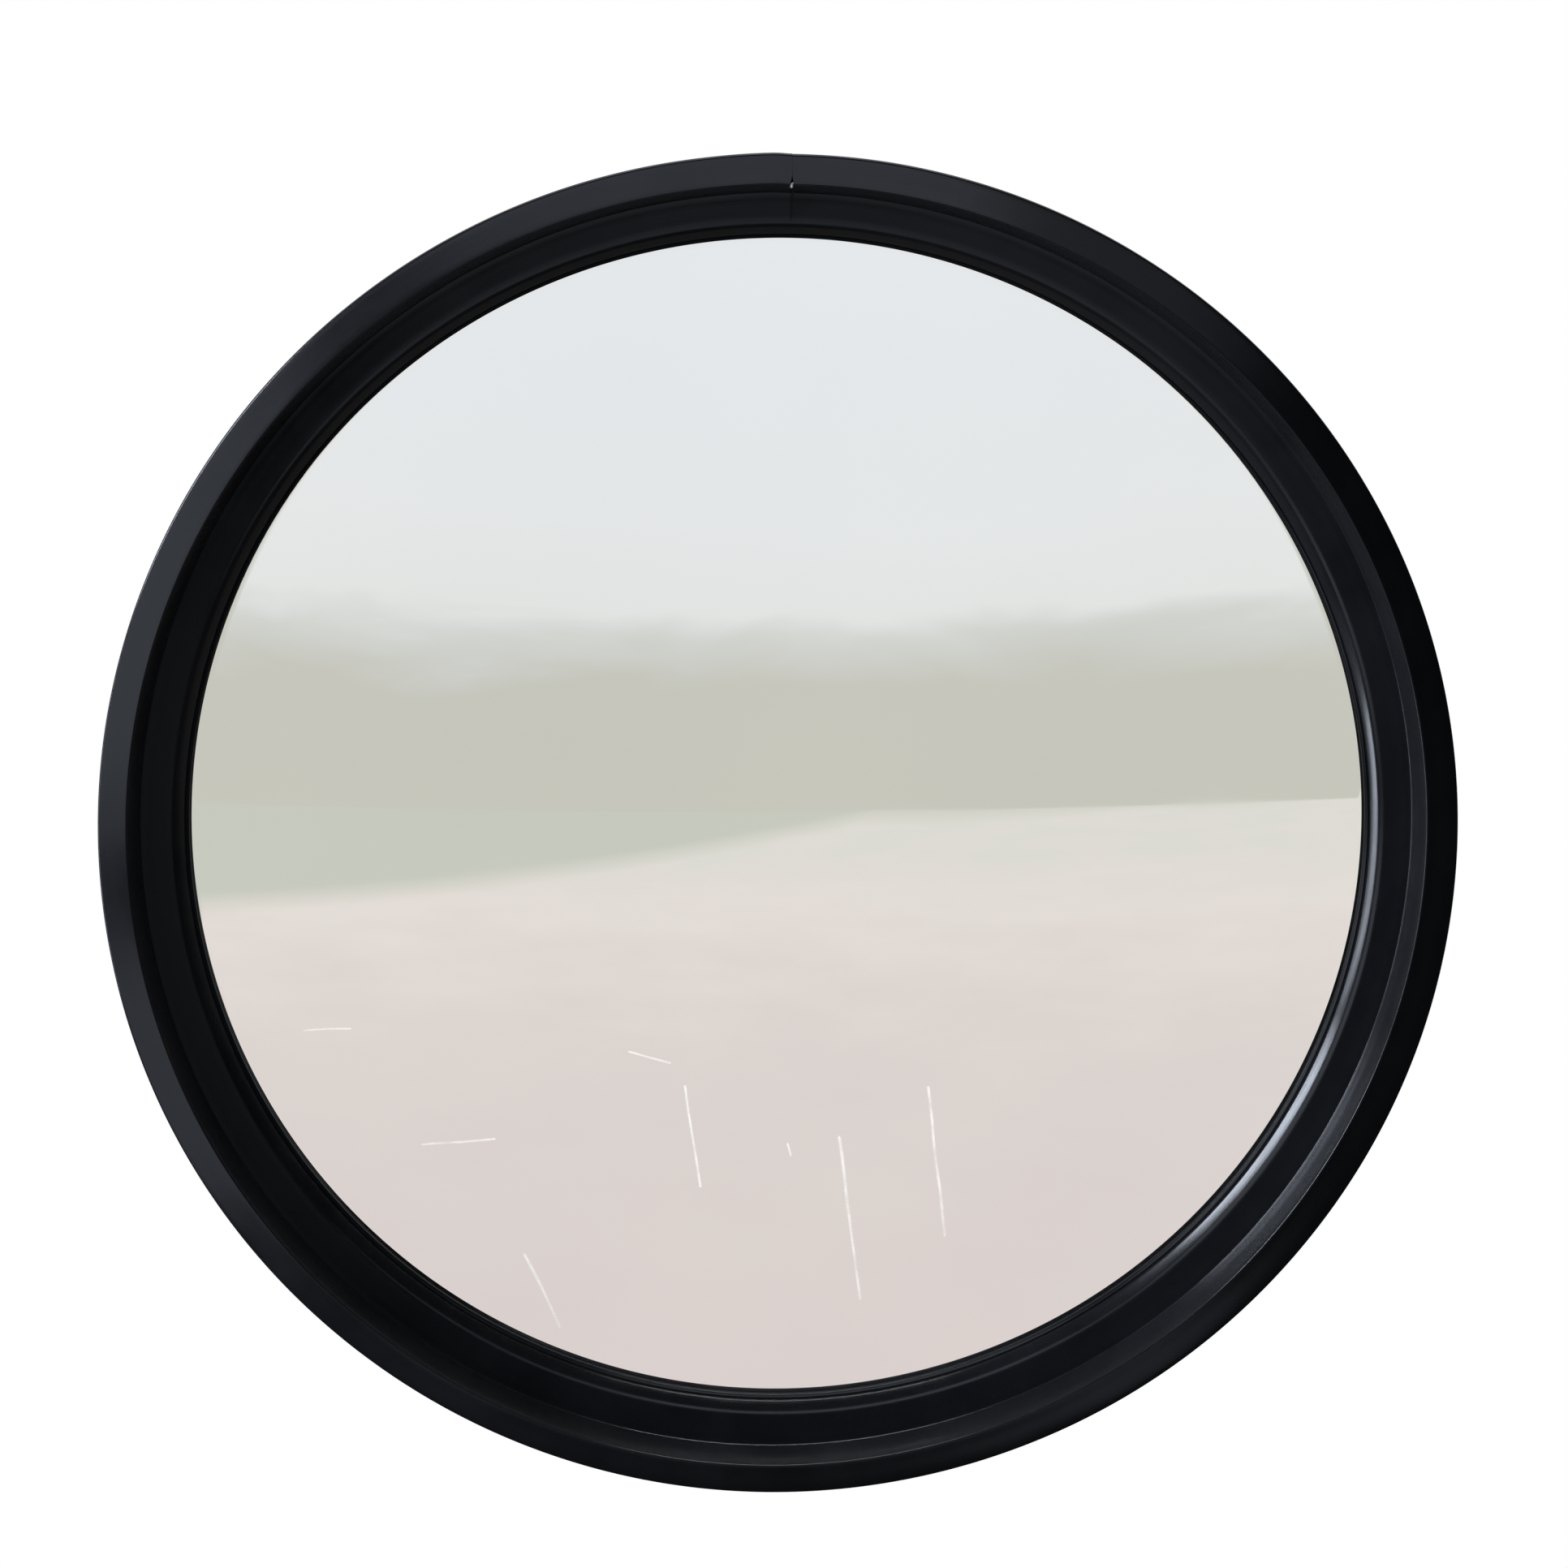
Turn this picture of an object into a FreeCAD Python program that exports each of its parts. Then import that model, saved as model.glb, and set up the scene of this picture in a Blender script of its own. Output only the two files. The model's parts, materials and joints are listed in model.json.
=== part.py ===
"""Round convex security mirror on an adjustable wall bracket.

Row frame, in millimetres: the wall is the plane Y = 0, the mirror looks along -Y, +X is to the right
of a person facing the mirror, and +Z is up. The origin is the centre of the wall plate's back face, and
the mirror's axis is the Y axis.

Depths are given as u, the distance out from the wall, so Y = -u. Radii are given as r, from the
mirror's axis.

Two pivots of the same design carry the mirror: one at the wall, on a vertical bolt, and one behind the
mirror, on a level bolt. A two-piece tube between them slides in and out.
"""
import FreeCAD
import Part
import math
import os

Vector = FreeCAD.Vector

# ---- driving dimensions: the mirror head ----
HEAD_R = 225.0              # outside radius of the rubber trim
LENS_CURVE_R = 800.0        # radius of curvature of the lens's front face
LENS_T = 3.0                # acrylic thickness
LENS_SEAT_R = 195.0         # where the dome turns into its flat flange
STACK_R = 209.0             # outside radius of lens flange, gasket and backing board
GASKET_T = 2.0
GASKET_INNER_R = 197.0
BOARD_T = 2.5
BOSS_DEPTH = 6.0            # how far the board's centre stands back from its flange
WIDEST_RISE = 18.6          # the lens flange's face to the trim's widest plane
SEAM_X = 4.3                # the trim's butt joint, just right of the top
SEAM_GAP = 0.4

# ---- driving dimensions: the bracket ----
WALL_PLATE_W = 70.0
WALL_PLATE_H = 90.0
WALL_HOLE_DX = 50.0
WALL_HOLE_DZ = 70.0
WALL_HOLE_R = 2.75
PLATE_T = 2.5
EAR_T = 2.5
EAR_R = 12.0                # rounded ear end, about the pivot
EAR_GAP = 14.0              # between the two ears of a clevis
PIVOT_REACH = 19.0          # pivot axis to the clevis's base
TONGUE_T = 11.9
TONGUE_R = 11.0
TUBE_START = 18.0           # pivot axis to the near end of its tube
SHANK_L = 14.0
PIVOT_R = 4.0               # M8 pivot bolts
RUNNING = 0.05              # radial clearance of a pivot or a sliding fit
OUTER_TUBE_R = 11.0
OUTER_TUBE_BORE_R = 9.2
OUTER_TUBE_L = 108.0
INNER_TUBE_R = 8.0
INNER_TUBE_BORE_R = 6.5
STROKE = 60.0               # travel of the inner tube
TAIL_BUSH_L = 12.0
HEAD_PLATE = 90.0
HEAD_HOLE = 60.0            # spacing of the four head bolts
BOLT_R = 2.5                # M5 head bolts
CROSS_PIN_R = 2.0
LOCK_R = 3.0                # M6 lock screw

# ---- places worked out from them ----
PAN_U = 2 * PLATE_T + PIVOT_REACH
TUBE_U = PAN_U + TUBE_START
MOUTH_U = TUBE_U + OUTER_TUBE_L
TAIL_U = TUBE_U + SHANK_L + 4.0
MOUTH_BUSH_U = TAIL_U + TAIL_BUSH_L + STROKE + 0.5
INNER_END_U = MOUTH_U + 10.0
TILT_U = INNER_END_U + TUBE_START
HEAD_PLATE_U = TILT_U + PIVOT_REACH + PLATE_T
BOSS_U = HEAD_PLATE_U + PLATE_T
BOARD_U = BOSS_U + BOSS_DEPTH
GASKET_U = BOARD_U + BOARD_T
LENS_U = GASKET_U + GASKET_T
SEAT_U = LENS_U + LENS_T
LOCK_U = MOUTH_U - 9.0
CURVE_CENTRE_U = SEAT_U - math.sqrt(LENS_CURVE_R ** 2 - LENS_SEAT_R ** 2)

# A pivot is modelled once, with its axis along local Z and its clevis base towards local +Y.
PAN_FRAME = FreeCAD.Placement(Vector(0, -PAN_U, 0), FreeCAD.Rotation())
TILT_FRAME = FreeCAD.Placement(
    Vector(0, -TILT_U, 0),
    FreeCAD.Rotation(Vector(0, 0, 1), Vector(0, -1, 0), Vector(1, 0, 0)),
)


# ---- small tools ----
def on_radial(p):
    """A point (r, u) in the half plane that is turned about the mirror's axis."""
    return Vector(p.x, -p.y, 0)


def on_wall(p):
    """A point (x, z) on the wall plane."""
    return Vector(p.x, 0, p.y)


def on_local(p):
    """A point (x, y) across a pivot's axis, in the pivot's own frame."""
    return Vector(p.x, p.y, 0)


def rounded_wire(corners, place):
    """Closed outline through corners (a, b, radius), each one rounded by an arc of its own radius."""
    points = [Vector(a, b, 0) for a, b, radius in corners]
    turns = []
    for i, (a, b, radius) in enumerate(corners):
        here = points[i]
        if radius == 0:
            turns.append((here, None, here))
            continue
        back = (points[i - 1] - here).normalize()
        ahead = (points[(i + 1) % len(points)] - here).normalize()
        half = back.getAngle(ahead) / 2
        inward = (back + ahead).normalize()
        reach = radius / math.tan(half)
        middle = here + inward * (radius / math.sin(half) - radius)
        turns.append((here + back * reach, middle, here + ahead * reach))
    edges = []
    for i, (first, middle, last) in enumerate(turns):
        if middle is not None:
            edges.append(Part.Arc(place(first), place(middle), place(last)).toShape())
        following = turns[(i + 1) % len(turns)][0]
        if (following - last).Length > 1e-6:
            edges.append(Part.LineSegment(place(last), place(following)).toShape())
    return Part.Wire(edges)


def turned(corners):
    """Solid of revolution about the mirror's axis from (r, u, radius) corners."""
    face = Part.Face(rounded_wire(corners, on_radial))
    return face.revolve(Vector(0, 0, 0), Vector(0, 1, 0), 360)


def rounded_rectangle(width, height, radius, place):
    """Centred outline with four equal rounded corners."""
    w, h = width / 2, height / 2
    corners = [(-w, -h, radius), (w, -h, radius), (w, h, radius), (-w, h, radius)]
    return rounded_wire(corners, place)


def plate(width, height, radius, u, thickness):
    """Upright plate facing the wall, from depth u outwards."""
    face = Part.Face(rounded_rectangle(width, height, radius, on_wall))
    solid = face.extrude(Vector(0, -thickness, 0))
    solid.translate(Vector(0, -u, 0))
    return solid


def rod_u(x, z, radius, u0, u1):
    """Cylinder along Y, from depth u0 out to u1."""
    return Part.makeCylinder(radius, u1 - u0, Vector(x, -u0, z), Vector(0, -1, 0))


def rod_z(radius, z0, z1):
    """Cylinder along local Z."""
    return Part.makeCylinder(radius, z1 - z0, Vector(0, 0, z0))


def ring_z(outer, inner, z0, z1):
    return rod_z(outer, z0, z1).cut(rod_z(inner, z0 - 1, z1 + 1))


def hexagon_z(across_flats, z0, z1):
    corner = across_flats / math.sqrt(3)
    turns = [math.radians(60 * i) for i in range(6)]
    points = [Vector(corner * math.cos(t), corner * math.sin(t), z0) for t in turns]
    face = Part.Face(Part.makePolygon(points + points[:1]))
    return face.extrude(Vector(0, 0, z1 - z0))


def four_places(spacing_x, spacing_z):
    return [(sx * spacing_x / 2, sz * spacing_z / 2) for sx in (-1, 1) for sz in (-1, 1)]


def at(frame, shape):
    """The shape, carried from a pivot's own frame into the row frame."""
    moved = shape.copy()
    moved.Placement = frame.multiply(moved.Placement)
    return moved


def group(shapes):
    return Part.makeCompound(shapes)


# ---- the mirror head ----
def mirror_lens():
    """Spherical acrylic cap with a flat flange all round."""
    back_r = LENS_CURVE_R - LENS_T
    back_seat_r = math.sqrt(back_r ** 2 - (LENS_U - CURVE_CENTRE_U) ** 2)

    def on_sphere(radius, share, seat_r):
        angle = math.asin(seat_r / radius) * share
        return Vector(radius * math.sin(angle), CURVE_CENTRE_U + radius * math.cos(angle), 0)

    front = [on_sphere(LENS_CURVE_R, s, LENS_SEAT_R) for s in (0, 0.5, 1)]
    back = [on_sphere(back_r, s, back_seat_r) for s in (1, 0.5, 0)]
    flange = [front[2], Vector(STACK_R, SEAT_U, 0), Vector(STACK_R, LENS_U, 0), back[0]]
    edges = [Part.Arc(*[on_radial(p) for p in front]).toShape()]
    for p, q in zip(flange, flange[1:]):
        edges.append(Part.LineSegment(on_radial(p), on_radial(q)).toShape())
    edges.append(Part.Arc(*[on_radial(p) for p in back]).toShape())
    edges.append(Part.LineSegment(on_radial(back[2]), on_radial(front[0])).toShape())
    return Part.Face(Part.Wire(edges)).revolve(Vector(0, 0, 0), Vector(0, 1, 0), 360)


def edge_gasket():
    """Foam ring that cushions the lens flange on the board."""
    return turned([
        (GASKET_INNER_R, GASKET_U, 0), (STACK_R, GASKET_U, 0),
        (STACK_R, LENS_U, 0), (GASKET_INNER_R, LENS_U, 0),
    ])


def backing_board():
    """Moulded back: a raised centre boss, two stiffening beads and twelve radial ribs."""
    bead_h, bead_w, rise = 3.0, 12.0, 2.0
    boss_r, boss_foot_r = 72.0, 80.0
    rear = [(0, BOSS_U, 0), (boss_r, BOSS_U, 3), (boss_foot_r, BOARD_U, 3)]
    for bead_r in (112.0, 160.0):
        rear += [
            (bead_r, BOARD_U, 1), (bead_r + rise, BOARD_U - bead_h, 1),
            (bead_r + bead_w - rise, BOARD_U - bead_h, 1), (bead_r + bead_w, BOARD_U, 1),
        ]
    rear.append((STACK_R, BOARD_U, 0))
    front = [(r, u + BOARD_T, radius) for r, u, radius in reversed(rear)]
    board = turned(rear + front)
    rib_w, rib_h, rib_start, rib_end = 3.0, 2.4, boss_foot_r + 2, 197.0
    for i in range(12):
        rib = Part.makeBox(
            rib_end - rib_start, rib_h + 1, rib_w, Vector(rib_start, -BOARD_U - 1, -rib_w / 2)
        )
        rib.rotate(Vector(0, 0, 0), Vector(0, 1, 0), 15 + 30 * i)
        board = board.fuse(rib)
    board = board.removeSplitter()
    for x, z in four_places(HEAD_HOLE, HEAD_HOLE):
        board = board.cut(rod_u(x, z, BOLT_R + 0.25, BOSS_U - 1, GASKET_U))
    return board


TRIM_CORE_R = 217.9         # centre circle of the trim's hollow core
TRIM_CORE_U = SEAT_U + WIDEST_RISE - 6.0
TRIM_CORE_BORE_R = 3.4


def rim_trim():
    """Extruded rubber channel that grips lens, gasket and board, bent round and butt-jointed near the top.

    In section it is a deep moulding: a tapered flank and a sloped shoulder outside, a narrow crest, then a
    steep wall, a broad band and a rounded bead that step down to the sealing lip on the lens.
    """
    seat, back = SEAT_U, BOARD_U
    widest, rear = SEAT_U + WIDEST_RISE, BOARD_U - 3.0
    ring = turned([
        (200.0, rear, 1.2),             # rear lip
        (217.6, rear, 5.0),             # rounded back edge
        (HEAD_R, widest - 2.0, 1.5),    # tapered flank
        (HEAD_R, widest + 1.4, 2.0),    # narrow band at the widest radius
        (215.2, widest + 4.6, 1.2),     # sloped shoulder up to the crest
        (211.4, widest - 8.6, 1.6),     # steep inner wall
        (200.8, widest - 10.8, 2.4),    # broad band
        (197.4, widest - 15.4, 0.6),    # bead
        (196.9, widest - 17.0, 0.2),    # groove
        (196.5, widest - 16.1, 0.2),    # sealing lip
        (195.5, widest - 16.5, 0.3),
        (195.5, seat, 0.0),
        (STACK_R + 0.3, seat, 0.5),     # channel
        (STACK_R + 0.3, back, 0.5),
        (200.0, back, 0.5),
    ])
    core = Part.makeTorus(TRIM_CORE_R, TRIM_CORE_BORE_R, Vector(0, -TRIM_CORE_U, 0), Vector(0, 1, 0))
    seam = Part.makeBox(SEAM_GAP, 50, 60, Vector(SEAM_X - SEAM_GAP / 2, -SEAT_U - 30, 180))
    return ring.cut(core).cut(seam)


def rim_splice_pin():
    """Curved plastic dowel inside the trim's hollow core, across its butt joint."""
    half_turn, slack = 8.0, 0.1
    circle = Part.makeCircle(
        TRIM_CORE_BORE_R - slack, Vector(0, -TRIM_CORE_U, TRIM_CORE_R), Vector(1, 0, 0)
    )
    pin = Part.Face(Part.Wire(circle)).revolve(Vector(0, 0, 0), Vector(0, 1, 0), 2 * half_turn)
    seam_turn = math.degrees(math.atan2(SEAM_X, TRIM_CORE_R))
    pin.rotate(Vector(0, 0, 0), Vector(0, 1, 0), seam_turn - half_turn)
    return pin


def spreader_plate():
    """Steel plate inside the head that spreads the bolts' pull over the board."""
    solid = plate(HEAD_PLATE, HEAD_PLATE, 10, BOSS_U + BOARD_T, 2.0)
    for x, z in four_places(HEAD_HOLE, HEAD_HOLE):
        solid = solid.cut(rod_u(x, z, BOLT_R + 0.25, BOSS_U, LENS_U))
    return solid


def head_plate():
    solid = plate(HEAD_PLATE, HEAD_PLATE, 10, HEAD_PLATE_U, PLATE_T)
    for x, z in four_places(HEAD_HOLE, HEAD_HOLE):
        solid = solid.cut(rod_u(x, z, BOLT_R + 0.25, HEAD_PLATE_U - 1, BOSS_U + 1))
    return solid


def head_bolts():
    """Four M5 bolts, domed heads inside the head and threads to the rear."""
    head_u = BOSS_U + BOARD_T + 2.0
    head_r, head_h, tail_u = 5.5, 3.0, HEAD_PLATE_U - 7.5
    bolts = []
    for x, z in four_places(HEAD_HOLE, HEAD_HOLE):
        head = rod_u(x, z, head_r, head_u, head_u + head_h)
        front_y = -head_u - head_h
        rim = [e for e in head.Edges if len(e.Vertexes) == 1 and abs(e.BoundBox.YMin - front_y) < 0.01]
        head = head.makeFillet(1.6, rim)
        bolts.append(head.fuse(rod_u(x, z, BOLT_R, tail_u, head_u + 0.5)).removeSplitter())
    return group(bolts)


def head_washers():
    top = HEAD_PLATE_U
    return group([
        rod_u(x, z, 5.5, top - 1.0, top).cut(rod_u(x, z, BOLT_R + 0.15, top - 2, top + 1))
        for x, z in four_places(HEAD_HOLE, HEAD_HOLE)
    ])


def head_nuts():
    across, height, washer_t = 8.0, 4.0, 1.0
    nuts = []
    for x, z in four_places(HEAD_HOLE, HEAD_HOLE):
        nut = hexagon_z(across, 0, height).cut(rod_z(BOLT_R, -1, height + 1))
        nut.rotate(Vector(0, 0, 0), Vector(1, 0, 0), 90)
        nut.translate(Vector(x, -(HEAD_PLATE_U - washer_t - height), z))
        nuts.append(nut)
    return group(nuts)


# ---- the pivots, each in its own frame ----
LOCK_WASHER_T = 1.6
KNOB_Z = EAR_GAP / 2 + EAR_T + LOCK_WASHER_T + 0.1
KNOB_H = 16.0
INSERT_AF = 13.0
INSERT_H = 6.5


def clevis():
    """Channel of folded steel whose two ears straddle the tongue."""
    half = EAR_GAP / 2
    reach = PIVOT_REACH + PLATE_T
    end_r = EAR_R - 0.001
    outline = [(-EAR_R, reach, 0), (EAR_R, reach, 0), (EAR_R, -EAR_R, end_r), (-EAR_R, -EAR_R, end_r)]
    blade = Part.Face(rounded_wire(outline, on_local)).extrude(Vector(0, 0, 2 * (half + EAR_T)))
    blade.translate(Vector(0, 0, -half - EAR_T))
    gap_l = reach + EAR_R + 1 - PLATE_T
    gap = Part.makeBox(4 * EAR_R, gap_l, EAR_GAP, Vector(-2 * EAR_R, -EAR_R - 1, -half))
    bore = rod_z(PIVOT_R + RUNNING, -30, 30)
    channel = blade.cut(gap).cut(bore)
    bends = [
        e for e in channel.Edges
        if abs(e.BoundBox.YMin - reach) < 0.01 and e.BoundBox.XLength > EAR_R and e.BoundBox.YLength < 0.01
    ]
    return channel.makeFillet(2.0, bends)


def pivot_bolt():
    """M8 carriage bolt: low domed head below the ears, thread up into the knob."""
    head_r, head_h = 9.0, 4.5
    low = -(EAR_GAP / 2 + EAR_T)
    head = rod_z(head_r, low - head_h, low)
    crown = [e for e in head.Edges if len(e.Vertexes) == 1 and abs(e.BoundBox.ZMax - (low - head_h)) < 0.01]
    head = head.makeFillet(3.0, crown)
    return head.fuse(rod_z(PIVOT_R, low - 1, KNOB_Z + 11.0)).removeSplitter()


def friction_washers():
    """Two nylon washers, one on each side of the tongue."""
    half = EAR_GAP / 2
    inner = half - 1.0
    hole = PIVOT_R + 0.1
    return group([ring_z(10.0, hole, inner, half), ring_z(10.0, hole, -half, -inner)])


def lock_washer():
    low = EAR_GAP / 2 + EAR_T
    return ring_z(9.0, PIVOT_R + 0.2, low, low + LOCK_WASHER_T)


def lobed_grip(body_r, lobe_r, z0, height):
    """Five-lobed hand knob with softened edges."""
    grip = rod_z(body_r, z0, z0 + height)
    for i in range(5):
        turn = math.radians(72 * i)
        lobe = rod_z(lobe_r, z0 + 3, z0 + height)
        lobe.translate(Vector(body_r * math.cos(turn), body_r * math.sin(turn), 0))
        grip = grip.fuse(lobe)
    return grip.removeSplitter()


def knob_grip():
    """Hand knob, hollow below for its nut insert and the bolt's end."""
    grip = lobed_grip(10.5, 3.8, KNOB_Z, KNOB_H)
    pocket = hexagon_z(INSERT_AF, KNOB_Z - 1, KNOB_Z + INSERT_H)
    return grip.cut(pocket).cut(rod_z(PIVOT_R + 0.5, KNOB_Z - 1, KNOB_Z + 13.0))


def knob_insert():
    """Steel nut moulded into the knob."""
    bore = rod_z(PIVOT_R + RUNNING, KNOB_Z - 1, KNOB_Z + INSERT_H + 1)
    return hexagon_z(INSERT_AF, KNOB_Z, KNOB_Z + INSERT_H).cut(bore)


def tongue(tube_r, shank_r):
    """Knuckle block: flat and round about the pivot, then a shoulder and a shank that plugs its tube."""
    neck = TUBE_START - 4.0
    width = 2 * min(TONGUE_R, tube_r + 1.5)
    block = rod_z(TONGUE_R, -TONGUE_T / 2, TONGUE_T / 2)
    corner = Vector(-width / 2, -neck - 1, -TONGUE_T / 2)
    block = block.fuse(Part.makeBox(width, neck + 1, TONGUE_T, corner))
    shoulder = Part.makeCylinder(tube_r, 4.0, Vector(0, -neck, 0), Vector(0, -1, 0))
    block = block.common(Part.makeBox(60, 60, TONGUE_T, Vector(-30, -neck, -TONGUE_T / 2)))
    shank = Part.makeCylinder(shank_r, SHANK_L, Vector(0, -TUBE_START, 0), Vector(0, -1, 0))
    knuckle = block.fuse([shoulder, shank]).removeSplitter()
    return knuckle.cut(rod_z(PIVOT_R + RUNNING, -20, 20)).cut(cross_hole(30))


def cross_hole(length):
    """Cutter, or pin, across the shank along local Z."""
    middle = TUBE_START + SHANK_L / 2
    return Part.makeCylinder(CROSS_PIN_R, length, Vector(0, -middle, -length / 2), Vector(0, 0, 1))


# ---- the sliding arm ----
def tube(outer_r, bore_r, u0, u1):
    return rod_u(0, 0, outer_r, u0, u1).cut(rod_u(0, 0, bore_r, u0 - 1, u1 + 1))


def lock_bore(radius):
    """Cutter for the lock screw, upwards from the tube's middle."""
    return Part.makeCylinder(radius, 40, Vector(0, -LOCK_U, 0), Vector(0, 0, 1))


def outer_tube():
    pipe = tube(OUTER_TUBE_R, OUTER_TUBE_BORE_R, TUBE_U, MOUTH_U)
    return pipe.cut(at(PAN_FRAME, cross_hole(30))).cut(lock_bore(LOCK_R + 0.2))


def inner_tube():
    pipe = tube(INNER_TUBE_R, INNER_TUBE_BORE_R, TAIL_U, INNER_END_U)
    return pipe.cut(at(TILT_FRAME, cross_hole(30)))


def mouth_bush():
    """Plastic liner that guides the inner tube at the outer tube's mouth."""
    sleeve = tube(OUTER_TUBE_BORE_R, INNER_TUBE_R + RUNNING, MOUTH_BUSH_U, MOUTH_U)
    flange = tube(OUTER_TUBE_R, INNER_TUBE_R + RUNNING, MOUTH_U, MOUTH_U + 2.0)
    return sleeve.fuse(flange).removeSplitter().cut(lock_bore(LOCK_R + 0.2))


def tail_bush():
    """Plastic sleeve on the inner tube's tail. It meets the mouth bush at full reach, as the tube's stop."""
    return tube(OUTER_TUBE_BORE_R - RUNNING, INNER_TUBE_R, TAIL_U, TAIL_U + TAIL_BUSH_L)


BOSS_TOP_Z = 20.0


def lock_collar():
    """Steel collar round the mouth of the outer tube, with the threaded boss for the lock screw."""
    ring = rod_u(0, 0, 15.0, MOUTH_U - 16.0, MOUTH_U - 2.0)
    boss = Part.makeCylinder(6.5, BOSS_TOP_Z, Vector(0, -LOCK_U, 0), Vector(0, 0, 1))
    solid = ring.fuse(boss).removeSplitter()
    return solid.cut(rod_u(0, 0, OUTER_TUBE_R, MOUTH_U - 30, MOUTH_U)).cut(lock_bore(LOCK_R + RUNNING))


LOCK_FRAME = FreeCAD.Placement(Vector(0, -LOCK_U, 0), FreeCAD.Rotation())
LOCK_KNOB_Z = BOSS_TOP_Z + 1.5


def lock_screw():
    """M6 screw that bears on the inner tube."""
    return rod_z(LOCK_R, INNER_TUBE_R + 0.1, LOCK_KNOB_Z + 10.0)


def lock_grip():
    grip = lobed_grip(9.0, 3.4, LOCK_KNOB_Z, 14.0)
    return grip.cut(rod_z(LOCK_R, LOCK_KNOB_Z - 1, LOCK_KNOB_Z + 10.0))


# ---- the wall plate ----
def wall_plate():
    solid = plate(WALL_PLATE_W, WALL_PLATE_H, 10, 0, PLATE_T)
    for x, z in four_places(WALL_HOLE_DX, WALL_HOLE_DZ):
        solid = solid.cut(rod_u(x, z, WALL_HOLE_R, -1, PLATE_T + 1))
    return solid


def build():
    """Every sub-part, by the name of its node."""
    parts = {
        "mirror_lens": mirror_lens(),
        "edge_gasket": edge_gasket(),
        "backing_board": backing_board(),
        "rim_trim": rim_trim(),
        "rim_splice_pin": rim_splice_pin(),
        "spreader_plate": spreader_plate(),
        "head_plate": head_plate(),
        "head_bolts": head_bolts(),
        "head_washers": head_washers(),
        "head_nuts": head_nuts(),
        "head_clevis": at(TILT_FRAME, clevis()),
        "wall_clevis": at(PAN_FRAME, clevis()),
        "wall_plate": wall_plate(),
        "pan_tongue": at(PAN_FRAME, tongue(OUTER_TUBE_R, OUTER_TUBE_BORE_R)),
        "tilt_tongue": at(TILT_FRAME, tongue(INNER_TUBE_R, INNER_TUBE_BORE_R)),
        "pan_tongue_pin": at(PAN_FRAME, cross_hole(2 * OUTER_TUBE_R)),
        "tilt_tongue_pin": at(TILT_FRAME, cross_hole(2 * INNER_TUBE_R - 0.6)),
        "outer_tube": outer_tube(),
        "inner_tube": inner_tube(),
        "mouth_bush": mouth_bush(),
        "tail_bush": tail_bush(),
        "lock_collar": lock_collar(),
        "lock_screw": at(LOCK_FRAME, lock_screw()),
        "lock_grip": at(LOCK_FRAME, lock_grip()),
    }
    for name, frame in (("pan", PAN_FRAME), ("tilt", TILT_FRAME)):
        parts[name + "_bolt"] = at(frame, pivot_bolt())
        parts[name + "_friction_washers"] = at(frame, friction_washers())
        parts[name + "_lock_washer"] = at(frame, lock_washer())
        parts[name + "_knob_grip"] = at(frame, knob_grip())
        parts[name + "_knob_insert"] = at(frame, knob_insert())
    return parts


os.makedirs("parts", exist_ok=True)
for node, shape in build().items():
    solids = shape.Solids
    print(f"{node:24s} solids {len(solids)} valid {shape.isValid()} volume {shape.Volume / 1000:.2f} cm3")
    shape.exportStep(os.path.join("parts", node + ".step"))
print(f"pan axis u {PAN_U}, tilt axis u {TILT_U}, lock screw u {LOCK_U}, lens seat u {SEAT_U}")
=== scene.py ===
import json
import math

import bmesh
import bpy
from mathutils import Matrix, Vector, noise


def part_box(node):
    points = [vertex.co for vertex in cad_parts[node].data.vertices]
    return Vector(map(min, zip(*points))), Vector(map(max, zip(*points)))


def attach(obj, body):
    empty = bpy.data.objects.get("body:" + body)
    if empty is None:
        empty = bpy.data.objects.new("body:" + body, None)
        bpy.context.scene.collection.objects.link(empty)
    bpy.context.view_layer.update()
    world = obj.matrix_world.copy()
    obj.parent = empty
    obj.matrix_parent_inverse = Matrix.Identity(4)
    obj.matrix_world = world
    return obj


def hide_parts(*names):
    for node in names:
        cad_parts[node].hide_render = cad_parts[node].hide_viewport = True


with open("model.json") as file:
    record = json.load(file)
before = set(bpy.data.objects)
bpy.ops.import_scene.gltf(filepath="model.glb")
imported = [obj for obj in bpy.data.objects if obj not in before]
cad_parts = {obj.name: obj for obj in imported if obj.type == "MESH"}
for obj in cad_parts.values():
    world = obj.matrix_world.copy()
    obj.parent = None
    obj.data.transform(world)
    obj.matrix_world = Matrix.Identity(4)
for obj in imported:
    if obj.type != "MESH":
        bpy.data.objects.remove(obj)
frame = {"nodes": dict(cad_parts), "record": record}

# Looks of a round convex security mirror on a wall arm. Metres, in the CAD frame: the mirror faces -Y and
# its axis is the Y axis. Radii, depths and lengths of the trim and the lens are in millimetres, and MM scales
# them. A depth is measured forwards from the lens's flange, and an angle runs clockwise from the top as seen
# from in front.
MM = 0.001
TURN = 2 * math.pi
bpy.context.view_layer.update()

HEAD = "mirror_head"
LENS_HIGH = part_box("mirror_lens")[1]
TRIM_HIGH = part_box("rim_trim")[1]
LENS_T = 3.0                    # acrylic thickness
SEAT_Y = LENS_HIGH.y - LENS_T * MM
WIDEST = 18.6                   # depth of the trim's widest plane
HEAD_R = TRIM_HIGH.z / MM       # outside of the trim
STACK_R = LENS_HIGH.z / MM      # outside of the lens's flange
DOME_R = 195.0                  # where the dome turns into the flange
CURVE_R = 800.0                 # radius of curvature of the dome's front
CREST_R = 217.0                 # radius at which lengths along the trim are measured
SEAM_X = 4.3                    # the trim's butt joint, right of the top
SHARP = math.radians(40)        # edges above this angle aren't smoothed


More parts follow.
